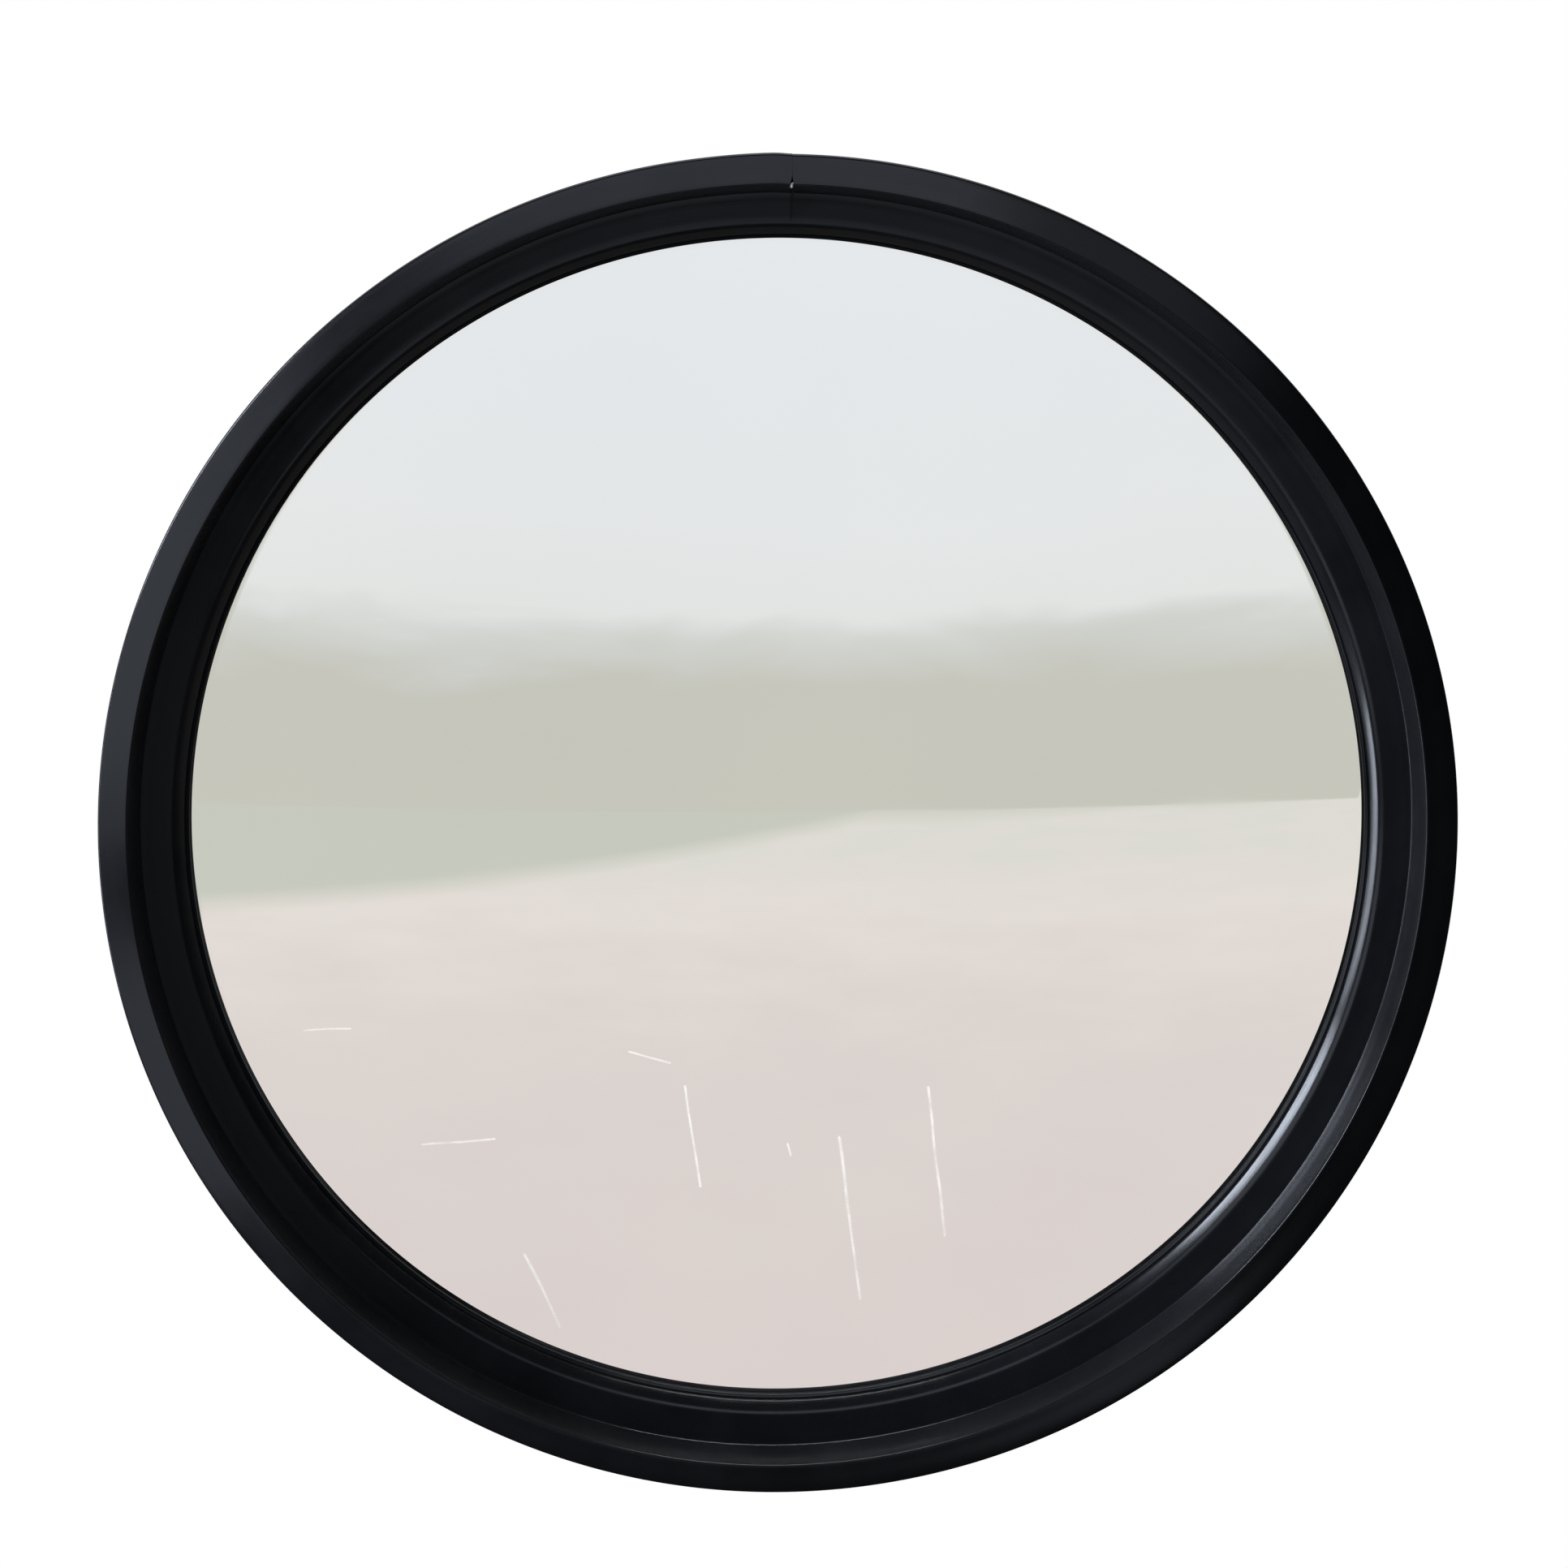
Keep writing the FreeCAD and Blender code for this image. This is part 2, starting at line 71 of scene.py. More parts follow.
# ---- meshes ----
def rounded_outline(corners, arc_step=9.0, longest=1.6):
    """Points of a closed outline through corners (a, b, radius), with rounded corners and no long edge."""
    points = []
    count = len(corners)
    for i, (a, b, radius) in enumerate(corners):
        here = Vector((a, b))
        if radius == 0:
            points.append(here)
            continue
        back = (Vector(corners[i - 1][:2]) - here).normalized()
        ahead = (Vector(corners[(i + 1) % count][:2]) - here).normalized()
        half = math.acos(max(-1.0, min(1.0, back.dot(ahead)))) / 2
        centre = here + (back + ahead).normalized() * (radius / math.sin(half))
        first = here + back * (radius / math.tan(half)) - centre
        sweep = math.pi - 2 * half
        if back.x * ahead.y - back.y * ahead.x > 0:
            sweep = -sweep
        steps = max(2, math.ceil(abs(math.degrees(sweep)) / arc_step))
        for k in range(steps + 1):
            c, s = math.cos(sweep * k / steps), math.sin(sweep * k / steps)
            points.append(centre + Vector((c * first.x - s * first.y, s * first.x + c * first.y)))
    fine = []
    for i, p in enumerate(points):
        q = points[(i + 1) % len(points)]
        parts = max(1, math.ceil((q - p).length / longest))
        fine += [p.lerp(q, k / parts) for k in range(parts)]
    return fine


def new_object(name, mesh, material, body=HEAD):
    """Smooth-shaded object with one material, riding on a body."""
    mesh.shade_smooth()
    mesh.set_sharp_from_angle(angle=SHARP)
    made = bpy.data.objects.new(name, mesh)
    bpy.context.scene.collection.objects.link(made)
    made.data.materials.append(material)
    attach(made, body)
    return made


def mesh_from(build, name):
    """Mesh filled by build(bmesh), with its faces turned outwards."""
    work = bmesh.new()
    build(work)
    bmesh.ops.recalc_face_normals(work, faces=work.faces)
    mesh = bpy.data.meshes.new(name)
    work.to_mesh(mesh)
    work.free()
    return mesh


def bridge(work, rings, around=True, closed=False):
    """Quads between successive rings. around joins each ring's ends; closed joins the last to the first."""
    following = rings[1:] + rings[:1] if closed else rings[1:]
    for first, second in zip(rings, following):
        for i in range(len(first) if around else len(first) - 1):
            j = (i + 1) % len(first)
            work.faces.new((first[i], first[j], second[j], second[i]))


def round_axis(r, depth, angle):
    """Point at radius r and depth, both in mm, at an angle clockwise from the top."""
    return Vector((r * math.sin(angle) * MM, SEAT_Y - depth * MM, r * math.cos(angle) * MM))


# ---- the trim ----
# Corners of the section: radius, depth and the radius of the corner itself.
TRIM_SECTION = [
    (200.0, -10.5, 1.2),            # rear lip
    (217.6, -10.5, 5.0),            # rounded back edge
    (HEAD_R, WIDEST - 2.0, 1.5),    # tapered flank
    (HEAD_R, WIDEST + 1.4, 0.9),    # narrow band at the widest radius
    (215.2, WIDEST + 4.6, 0.55),    # sloped shoulder up to the crest
    (211.4, WIDEST - 8.6, 0.45),    # steep inner wall
    (200.4, WIDEST - 10.95, 5.5),   # broad band
    (197.2, WIDEST - 14.0, 0.4),    # bead
    (196.9, WIDEST - 16.0, 0.15),   # groove
    (196.5, WIDEST - 15.6, 0.15),   # sealing lip
    (195.5, WIDEST - 16.2, 0.3),
    (195.5, 0.0, 0.0),
    (STACK_R + 0.3, 0.0, 0.5),      # channel round the lens, gasket and board
    (STACK_R + 0.3, -7.5, 0.5),
    (200.0, -7.5, 0.5),
]
CREST = Vector((215.0, WIDEST + 4.0))
SEAM_ANGLE = math.asin(SEAM_X / CREST_R)
SEAM_RIGHT_LIFT = -0.10         # how far the seam's right end stands out
SEAM_LEFT_LIFT = 0.34           # how far the left end stands out, just past its rounded edge
SEAM_ROUNDING = 3.5             # length of that rounded edge
SEAM_REACH = 20.0               # length over which the ends settle to the trim's own radius
SEAM_GAP = 0.02                 # half the gap between the ends
CHIP, CHIP_R = 0.85, 1.9        # how much wider the gap is at the crest, and the radius of that notch
GAP_REACH = 1.1                 # length over which the gap closes into the trim
LEAN = 1.3                      # how far the crest leans inwards at the lower right
LEAN_ANGLE = math.radians(122)
WAVE, WAVE_DEPTH = 0.10, 0.12   # waviness of the hand-fitted trim, in radius and in depth


def clamp(value):
    """The value, held between 0 and 1."""
    return max(0.0, min(1.0, value))


def bell(distance, width):
    """1 at no distance, falling smoothly to 0."""
    return math.exp(-((distance / width) ** 2))


def trim_point(p, share):
    """Point p of the section, swept by a share of the way from the seam's right end round to its left end."""
    along = min(share, 1 - share) * TURN * CREST_R
    right = share < 0.5
    lift = SEAM_RIGHT_LIFT if right else SEAM_LEFT_LIFT * (1 - bell(along, SEAM_ROUNDING))
    outer = clamp((p.x - 203.0) / 20.0)
    r = p.x + lift * outer * bell(along, SEAM_REACH)
    gap = (SEAM_GAP + CHIP * bell((p - CREST).length, CHIP_R)) * bell(along, GAP_REACH)
    angle = SEAM_ANGLE + share * TURN + (gap if right else -gap) / CREST_R
    where = Vector((math.sin(angle), math.cos(angle), 0.0))
    r += WAVE * outer * noise.noise(where * 2.1)
    if p.y > WIDEST - 12.0:
        crest = clamp(min((p.x - 205.0) / 6.0, (222.0 - p.x) / 5.0))
        r -= LEAN * crest * max(0.0, math.cos(angle - LEAN_ANGLE)) ** 2
    depth = p.y + WAVE_DEPTH * noise.noise(where * 2.6 + Vector((0, 0, 7.0))) * clamp(p.y / 10.0)
    return round_axis(r, depth, angle)


def trim_mesh():
    """The trim's section swept round the mirror, with rings packed closer near the seam."""
    outline = rounded_outline(TRIM_SECTION)
    near = [0.0, 0.3, 0.6, 0.9, 1.2, 1.6, 2.2, 3.0, 4.2, 6.0, 9.0, 13.0]      # mm from the seam
    even_from, steps = 15.0, 560                # mm from the seam, where even steps take over
    length = TURN * CREST_R
    low, high = even_from / length, 1 - even_from / length
    shares = [d / length for d in near]
    shares += [low + (high - low) * k / steps for k in range(steps + 1)]
    shares += [1 - d / length for d in reversed(near)]

    def build(work):
        rings = [[work.verts.new(trim_point(p, s)) for p in outline] for s in shares]
        bridge(work, rings)
        ends = [work.faces.new(rings[0]), work.faces.new(rings[-1])]
        bmesh.ops.triangulate(work, faces=ends)

    return mesh_from(build, "trim_profile")


# ---- the lens ----
def lens_mesh():
    """Dome and flange, finely divided so that reflections run smoothly."""
    centre = -math.sqrt(CURVE_R ** 2 - DOME_R ** 2)
    back_r = CURVE_R - LENS_T
    back_edge = math.sqrt(back_r ** 2 - (-LENS_T - centre) ** 2)

    def arc(radius, edge, steps):
        span = math.asin(edge / radius)
        turns = [span * k / steps for k in range(1, steps + 1)]
        return [(radius * math.sin(t), centre + radius * math.cos(t)) for t in turns]

    front = arc(CURVE_R, DOME_R, 110)
    bevel = 0.4
    flange = [
        (DOME_R + 2 * bevel, 0.0), (STACK_R - bevel, 0.0), (STACK_R, -bevel),
        (STACK_R, bevel - LENS_T), (STACK_R - bevel, -LENS_T),
    ]
    back = arc(back_r, back_edge, 60)[::-1]
    section = front + flange + back

    def build(work):
        segments = 256
        rings = [
            [work.verts.new(round_axis(r, d, TURN * k / segments)) for k in range(segments)]
            for r, d in section
        ]
        bridge(work, rings)
        for ring, depth in ((rings[0], centre + CURVE_R), (rings[-1], centre + back_r)):
            pole = work.verts.new(round_axis(0, depth, 0))
            for i in range(segments):
                work.faces.new((ring[i], ring[(i + 1) % segments], pole))

    return mesh_from(build, "lens_dome")


# ---- materials ----
class Graph:
    """A node material under construction. Its coordinates are the row frame's, in metres."""

    def __init__(self, name, **constants):
        self.material = bpy.data.materials.new(name)
        self.material.use_nodes = True
        self.tree = self.material.node_tree
        self.shader = self.tree.nodes["Principled BSDF"]
        self.place = self.node("ShaderNodeTexCoord").outputs["Object"]
        for key, value in constants.items():
            self.shader.inputs[key.replace("_", " ")].default_value = value

    def node(self, kind, inputs=(), **settings):
        made = self.tree.nodes.new(kind)
        for key, value in settings.items():
            setattr(made, key, value)
        for key, value in dict(inputs).items():
            if isinstance(value, bpy.types.NodeSocket):
                self.tree.links.new(value, made.inputs[key])
            else:
                made.inputs[key].default_value = value
        return made

    def math(self, operation, *values):
        return self.node("ShaderNodeMath", enumerate(values), operation=operation).outputs[0]

    def vector(self, operation, *values, output=0):
        return self.node("ShaderNodeVectorMath", enumerate(values), operation=operation).outputs[output]

    def scaled(self, factors):
        return self.vector("MULTIPLY", self.place, factors)

    def noise(self, scale, detail=2.0, roughness=0.5, vector=None, distortion=0.0):
        inputs = {
            "Vector": vector or self.place, "Scale": scale, "Detail": detail,
            "Roughness": roughness, "Distortion": distortion,
        }
        return self.node("ShaderNodeTexNoise", inputs).outputs[0]

    def cells(self, scale):
        return self.node("ShaderNodeTexVoronoi", {"Vector": self.place, "Scale": scale}).outputs["Distance"]

    def range(self, value, low, high, to_low, to_high):
        inputs = {0: value, 1: low, 2: high, 3: to_low, 4: to_high}
        return self.node("ShaderNodeMapRange", inputs, clamp=True).outputs[0]

    def ramp(self, value, *stops):
        """Colour from a value through stops, each (position, colour)."""
        made = self.node("ShaderNodeValToRGB", {0: value})
        elements = made.color_ramp.elements
        for element, (position, color) in zip((elements[0], elements[1]), (stops[0], stops[-1])):
            element.position, element.color = position, (*color, 1)
        for position, color in stops[1:-1]:
            elements.new(position).color = (*color, 1)
        return made.outputs[0]

    def blend(self, factor, first, color):
        """Mixes a colour output with a fixed colour."""
        made = self.node("ShaderNodeMix", data_type="RGBA")
        self.tree.links.new(factor, made.inputs["Factor"])
        self.tree.links.new(first, made.inputs[6])
        made.inputs[7].default_value = (*color, 1)
        return made.outputs[2]

    def rounded(self, radius):
        """Normal with every edge rounded to radius metres, and a mask that is 1 along the edges."""
        soft = self.node("ShaderNodeBevel", {"Radius": radius}, samples=6).outputs[0]
        flat = self.node("ShaderNodeNewGeometry").outputs["Normal"]
        facing = self.vector("DOT_PRODUCT", soft, flat, output="Value")
        return soft, self.range(facing, 0.99, 0.80, 0.0, 1.0)

    def bump(self, *layers, normal=None):
        """Chains bumps. Each layer is (height, strength, distance in metres)."""
        for height, strength, distance in layers:
            inputs = {"Height": height, "Strength": strength, "Distance": distance}
            if normal is not None:
                inputs["Normal"] = normal
            normal = self.node("ShaderNodeBump", inputs).outputs[0]
        self.feed("Normal", normal)

    def feed(self, socket, output):
        self.tree.links.new(output, self.shader.inputs[socket])

    def radius(self):
        """Distance from the mirror's axis."""
        return self.vector("LENGTH", self.scaled((1, 0, 1)), output="Value")


def rubber_trim():
    """Glossy black extruded rubber, with faint die lines along it and soft smudges."""
    g = Graph("gloss_black_trim", IOR=1.5)
    split = g.node("ShaderNodeSeparateXYZ", {0: g.place})
    across = g.node("ShaderNodeCombineXYZ", {0: g.radius(), 1: split.outputs[1], 2: 0.0}).outputs[0]
    die_lines = g.noise(620, 3, 0.55, vector=across)
    slow = g.noise(16, 2)
    smudge = g.noise(34, 4, 0.6)
    grain = g.noise(2600, 2)
    g.feed("Base Color", g.ramp(smudge, (0.3, (0.0112, 0.0117, 0.0132)), (0.75, (0.0158, 0.0165, 0.0185))))
    gloss = g.math("ADD", g.range(smudge, 0.3, 0.75, 0.15, 0.23), g.range(die_lines, 0.3, 0.7, -0.02, 0.03))
    g.feed("Roughness", gloss)
    g.bump((slow, 0.35, 0.0012), (die_lines, 0.06, 0.0003), (grain, 0.05, 0.0001))
    return g.material


# Hairline marks on the lens: (x, z) of each end, then half the width, all in mm.
MARKS = [
    (-85.0, -146.0, -80.0, -157.0, 0.70), (-80.0, -157.0, -73.5, -172.0, 0.62),
    (-31.0, -86.0, -26.0, -121.0, 0.55),
    (20.0, -104.0, 24.0, -132.0, 0.72), (24.0, -132.0, 27.0, -161.0, 0.58),
    (49.5, -87.0, 56.0, -139.0, 0.62),
    (-119.0, -108.0, -95.0, -105.0, 0.50), (-158.0, -69.0, -142.0, -68.0, 0.45),
    (-50.0, -74.0, -36.0, -78.0, 0.45), (3.0, -106.0, 4.0, -110.0, 0.50),
]


def marks_on(g):
    """Mask that is 1 along each hairline mark, which wanders a little from its straight line."""
    wander = 2.6                    # mm
    sway = g.node("ShaderNodeTexNoise", {"Vector": g.place, "Scale": 26.0, "Detail": 1.0}).outputs["Color"]
    flat = g.vector("MULTIPLY_ADD", g.place, (1 / MM, 0, 1 / MM), (-wander / 2, 0, -wander / 2))
    point = g.vector("MULTIPLY_ADD", sway, (wander, 0, wander), flat)
    total = None
    for x0, z0, x1, z1, half in MARKS:
        along = Vector((x1 - x0, 0.0, z1 - z0))
        offset = g.vector("SUBTRACT", point, (x0, 0.0, z0))
        share = g.math("DIVIDE", g.vector("DOT_PRODUCT", offset, along, output="Value"), along.length_squared)
        share = g.range(share, 0, 1, 0, 1)
        nearest = g.node("ShaderNodeVectorMath", {0: along, "Scale": share}, operation="SCALE").outputs[0]
        distance = g.vector("LENGTH", g.vector("SUBTRACT", offset, nearest), output="Value")
        mark = g.range(distance, 0.25 * half, half, 1.0, 0.0)
        total = mark if total is None else g.math("MAXIMUM", total, mark)
    return total


def mirror_coat():
    """Mirrored acrylic, faintly smeared, with a few hairline marks that let the white backing show."""
    g = Graph("mirrored_acrylic", Coat_Weight=1.0, Coat_IOR=1.49, Coat_Roughness=0.012)
    worn = g.math("MULTIPLY", marks_on(g), g.range(g.noise(150, 3), 0.35, 0.6, 0.35, 0.95))
    silver = g.ramp(g.noise(7, 3, 0.55), (0.3, (0.865, 0.872, 0.872)), (0.7, (0.885, 0.888, 0.884)))
    g.feed("Base Color", g.blend(worn, silver, (0.96, 0.96, 0.95)))
    g.feed("Metallic", g.math("SUBTRACT", 1.0, worn))
    smear = g.range(g.noise(11, 4, 0.6, distortion=0.8), 0.4, 0.75, 0.012, 0.05)
    g.feed("Roughness", g.math("MULTIPLY_ADD", worn, 0.5, smear))
    g.bump((g.noise(14, 1), 0.05, 0.0006))
    return g.material


def powder_coat():
    """Black textured powder coat, rubbed grey along its edges."""
    g = Graph("powder_coat", IOR=1.5)
    soft, edge = g.rounded(0.0007)
    patch = g.noise(45, 3)
    rub = g.math("MULTIPLY", edge, g.range(g.noise(210, 3, 0.6), 0.42, 0.62, 0.0, 0.85))
    coat = g.ramp(patch, (0.3, (0.013, 0.013, 0.014)), (0.7, (0.024, 0.024, 0.026)))
    g.feed("Base Color", g.blend(rub, coat, (0.10, 0.10, 0.105)))
    g.feed("Roughness", g.math("MULTIPLY_ADD", rub, -0.12, g.range(patch, 0.3, 0.7, 0.34, 0.46)))
    g.bump((g.noise(1150, 2, 0.5), 0.38, 0.00022), (g.noise(300, 1), 0.15, 0.0003), normal=soft)
    return g.material


def zinc_plate():
    """Clear-passivated zinc: blue to faint straw, with a fine bloom."""
    g = Graph("zinc_plate", Metallic=1.0)
    soft, edge = g.rounded(0.0004)
    bloom = g.noise(260, 3, 0.6)
    plate = g.ramp(bloom, (0.3, (0.52, 0.55, 0.60)), (0.55, (0.66, 0.67, 0.67)), (0.75, (0.66, 0.63, 0.54)))
    g.feed("Base Color", g.blend(g.math("MULTIPLY", edge, 0.5), plate, (0.80, 0.80, 0.80)))
    g.feed("Roughness", g.range(g.noise(420, 3), 0.3, 0.7, 0.22, 0.40))
    g.bump((g.noise(1500, 2), 0.12, 0.0001), normal=soft)
    return g.material


def cast_metal():
    """Tumbled die casting."""
    g = Graph("die_cast_alloy", Metallic=1.0)
    soft, edge = g.rounded(0.0009)
    skin = g.noise(700, 4, 0.6)
    body = g.ramp(skin, (0.3, (0.42, 0.43, 0.44)), (0.7, (0.58, 0.58, 0.59)))
    g.feed("Base Color", g.blend(g.math("MULTIPLY", edge, 0.6), body, (0.72, 0.72, 0.73)))
    g.feed("Roughness", g.range(skin, 0.3, 0.7, 0.34, 0.52))
    g.bump((skin, 0.30, 0.00015), (g.noise(120, 2), 0.15, 0.0004), normal=soft)
    return g.material


def bright_tube():
    """Chrome plate with fine rub lines along the tube."""
    g = Graph("chrome_tube", Metallic=1.0)
    soft, edge = g.rounded(0.0004)
    rub = g.noise(1.0, 3, 0.6, vector=g.scaled((2600, 24, 2600)))
    chrome = g.ramp(rub, (0.35, (0.64, 0.65, 0.67)), (0.65, (0.75, 0.75, 0.76)))
    g.feed("Base Color", g.blend(edge, chrome, (0.80, 0.80, 0.81)))
    g.feed("Roughness", g.range(rub, 0.45, 0.75, 0.06, 0.22))
    g.bump((rub, 0.05, 0.0001), normal=soft)
    return g.material


def natural_nylon():
    """Unpigmented nylon, slightly cloudy."""
    g = Graph("natural_nylon", IOR=1.53, Subsurface_Weight=0.15, Subsurface_Scale=0.002)
    soft, _ = g.rounded(0.0003)
    cloud = g.noise(150, 3)
    g.feed("Base Color", g.ramp(cloud, (0.3, (0.66, 0.64, 0.55)), (0.7, (0.76, 0.74, 0.66))))
    g.feed("Roughness", g.range(cloud, 0.3, 0.7, 0.34, 0.48))
    g.bump((g.noise(900, 2), 0.10, 0.0002), normal=soft)
    return g.material


def knob_plastic():
    """Spark-eroded moulded plastic, polished by hands along its edges."""
    g = Graph("knob_plastic", IOR=1.5)
    soft, edge = g.rounded(0.0011)
    sparks = g.cells(1900)
    body = g.ramp(g.noise(60, 3), (0.3, (0.012, 0.012, 0.013)), (0.7, (0.022, 0.022, 0.024)))
    g.feed("Base Color", g.blend(g.math("MULTIPLY", edge, 0.4), body, (0.045, 0.045, 0.047)))
    g.feed("Roughness", g.math("MULTIPLY_ADD", edge, -0.18, g.range(g.noise(300, 3), 0.3, 0.7, 0.40, 0.54)))
    g.bump((sparks, 0.22, 0.00018), (g.noise(2400, 2), 0.15, 0.0001), normal=soft)
    return g.material


def board_plastic():
    """Pebble-grained moulded plastic, slightly dusty."""
    g = Graph("board_plastic", IOR=1.48)
    soft, edge = g.rounded(0.0008)
    pebble = g.cells(900)
    dust = g.noise(16, 5, 0.62)
    body = g.ramp(dust, (0.35, (0.014, 0.014, 0.015)), (0.72, (0.034, 0.034, 0.035)))
    g.feed("Base Color", g.blend(g.math("MULTIPLY", edge, 0.5), body, (0.06, 0.06, 0.062)))
    g.feed("Roughness", g.range(dust, 0.35, 0.72, 0.44, 0.62))
    g.bump((pebble, 0.30, 0.0003), (g.noise(9, 1), 0.12, 0.0012), normal=soft)
    return g.material


def gasket_foam():
    """Closed-cell black foam."""
    g = Graph("gasket_foam", IOR=1.4)
    pores = g.cells(1400)
    g.feed("Base Color", g.ramp(pores, (0.1, (0.010, 0.010, 0.010)), (0.6, (0.045, 0.045, 0.046))))
    g.feed("Roughness", g.range(pores, 0.0, 0.6, 0.75, 0.95))
    g.bump((pores, 0.5, 0.0004))
    return g.material


def painted_glint_finish():
    """Milky white: a painted glint in the trim's joint."""
    g = Graph("painted_glint_finish", IOR=1.46, Subsurface_Weight=0.2, Subsurface_Scale=0.0005)
    lump = g.noise(900, 3)
    g.feed("Base Color", g.ramp(lump, (0.3, (0.62, 0.63, 0.60)), (0.7, (0.80, 0.80, 0.77))))
    g.feed("Roughness", g.range(lump, 0.3, 0.7, 0.3, 0.5))
    g.bump((lump, 0.3, 0.0002))
    return g.material


# ---- the head's own pieces ----
def glint_lump_mesh():
    """Pale lump where the trim's ends meet: a painted glint in the joint."""
    def build(work):
        bmesh.ops.create_icosphere(work, subdivisions=4, radius=1.0)
        for v in work.verts:
            lumps = 1 + 0.30 * noise.noise(v.co * 1.7) + 0.12 * noise.noise(v.co * 5.0)
            across, out, up = v.co * lumps
            r = CREST.x + 0.2 + 0.95 * up
            depth = CREST.y - 0.15 + 0.45 * out + 0.25 * up
            angle = SEAM_ANGLE + (0.55 * across + 0.12 * up) / CREST_R
            v.co = round_axis(r, depth, angle)

    return mesh_from(build, "painted_glint_lump")


trim = new_object("trim_ring", trim_mesh(), rubber_trim())
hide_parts("rim_trim")

lens = new_object("lens_dome", lens_mesh(), mirror_coat())
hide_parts("mirror_lens")

# The pale lump at the seam is a painted glint in the trim's joint.
glint_fleck = new_object("seam_painted_glint", glint_lump_mesh(), painted_glint_finish())

finishes = {
    "foam": gasket_foam(), "board": board_plastic(), "nylon": natural_nylon(), "zinc": zinc_plate(),
    "bracket": powder_coat(), "knuckle": cast_metal(), "tube": bright_tube(), "grip": knob_plastic(),
}
for part in frame["record"]["subparts"]:
    if part["material_slot"] in finishes:
        mesh = frame["nodes"][part["node"]].data
        mesh.materials.clear()
        mesh.materials.append(finishes[part["material_slot"]])


# ---- detail on the hardware ----
def joined(meshes, name):
    """One mesh from several."""
    work = bmesh.new()
    for mesh in meshes:
        work.from_mesh(mesh)
        bpy.data.meshes.remove(mesh)
    mesh = bpy.data.meshes.new(name)
    work.to_mesh(mesh)
    work.free()
    return mesh


def ring_at(work, place, radius_at, z, segments):
    """Ring of vertices about local Z, whose radius may change with the turn."""
    ring = []
    for k in range(segments):
        turn = TURN * k / segments
        reach = radius_at(turn)
        ring.append(work.verts.new(place @ Vector((reach * math.cos(turn), reach * math.sin(turn), z))))
    return ring


def threaded_mesh(section, place, name, thread, segments=48):
    """Solid turned about local Z from (r, z) in metres. thread is (start, end, pitch, depth) along Z."""
    start, end, pitch, cut = thread

    def radius(r, z, turn):
        if not start < z < end:
            return r
        phase = (z / pitch - turn / TURN) % 1.0
        fade = min(1.0, (z - start) / pitch, (end - z) / pitch)
        return r - cut * fade * abs(2 * phase - 1)

    def build(work):
        rings = [ring_at(work, place, lambda turn: radius(r, z, turn), z, segments) for r, z in section]
        bridge(work, rings)
        work.faces.new(rings[0])
        work.faces.new(rings[-1])

    return mesh_from(build, name)


def corners_of(node, inset):
    """Middles of the four fasteners in a node, from its box and the radius of one fastener."""
    low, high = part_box(node)
    return [(x, z) for x in (low.x + inset, high.x - inset) for z in (low.z + inset, high.z - inset)]


# Local Z turned to point at the wall, for fasteners along the mirror's axis.
TO_WALL = Matrix(((1, 0, 0), (0, 0, 1), (0, -1, 0))).to_4x4()


def head_bolt_meshes():
    """M5 bolts with domed heads and cut threads."""
    low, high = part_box("head_bolts")
    length = high.y - low.y
    head_r, head_h, shank_r = 5.5 * MM, 3.0 * MM, 2.5 * MM
    pitch, thread_depth, point = 0.8 * MM, 0.42 * MM, 0.5 * MM
    start, end = head_h + 1.5 * MM, length - point
    dome = [(head_r - 2.2 * MM, 0.0), (head_r - 1.2 * MM, 0.15 * MM), (head_r - 0.4 * MM, 0.7 * MM)]
    section = dome + [(head_r, head_h / 2), (head_r, head_h), (shank_r, head_h)]
    z = start
    while z < end:
        section.append((shank_r, z))
        z += pitch / 6
    section += [(shank_r, end), (shank_r - point, length)]
    return [
        threaded_mesh(section, Matrix.Translation((x, low.y, z_mid)) @ TO_WALL, "bolt",
                      (start, end, pitch, thread_depth))
        for x, z_mid in corners_of("head_bolts", head_r)
    ]


def hex_nut_meshes():
    """Chamfered M5 nuts."""
    low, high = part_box("head_nuts")
    height, across, bore = high.y - low.y, 8.0 * MM, 2.52 * MM
    corner = across / math.sqrt(3)
    chamfer = 1.15 * (corner - 0.96 * across / 2)
    lead_in = 0.3 * MM
    segments = 72
    # Share of the height, and how much of the chamfer's width is reached there.
    outside = [(0, 0), (0.06, 0.33), (0.12, 0.66), (0.18, 1), (0.82, 1), (0.88, 0.66), (0.94, 0.33), (1, 0)]
    inside = [(1, bore + lead_in), (0.9, bore), (0.1, bore), (0, bore + lead_in)]

    def reach(turn, full):
        flat = across / 2 / math.cos((turn + math.pi / 6) % (math.pi / 3) - math.pi / 6)
        return min(flat, 0.97 * across / 2 + chamfer * full)

    def nut(place):
        def build(work):
            rings = [
                ring_at(work, place, lambda turn: reach(turn, full), share * height, segments)
                for share, full in outside
            ]
            rings += [ring_at(work, place, lambda turn: r, share * height, segments) for share, r in inside]
            bridge(work, rings, closed=True)

        return mesh_from(build, "nut")

    return [nut(Matrix.Translation((x, low.y, z)) @ TO_WALL) for x, z in corners_of("head_nuts", corner)]


X, Y, Z = Vector((1, 0, 0)), Vector((0, 1, 0)), Vector((0, 0, 1))
PLATE_WELD, COLLAR_WELD = 2.2 * MM, 1.8 * MM    # legs of the fillet welds
WELD_INSET = 2 * MM                             # how far a bead stops short of the clevis's ends
RIPPLE = 1.3 * MM                               # spacing of a weld's ripples


def weld_size(size, run, wander):
    """Leg of a fillet weld at a run along it: rippled, and wandering by a share."""
    return size * (1 + 0.13 * abs(math.sin(math.pi * run / RIPPLE))) * (1 + wander)


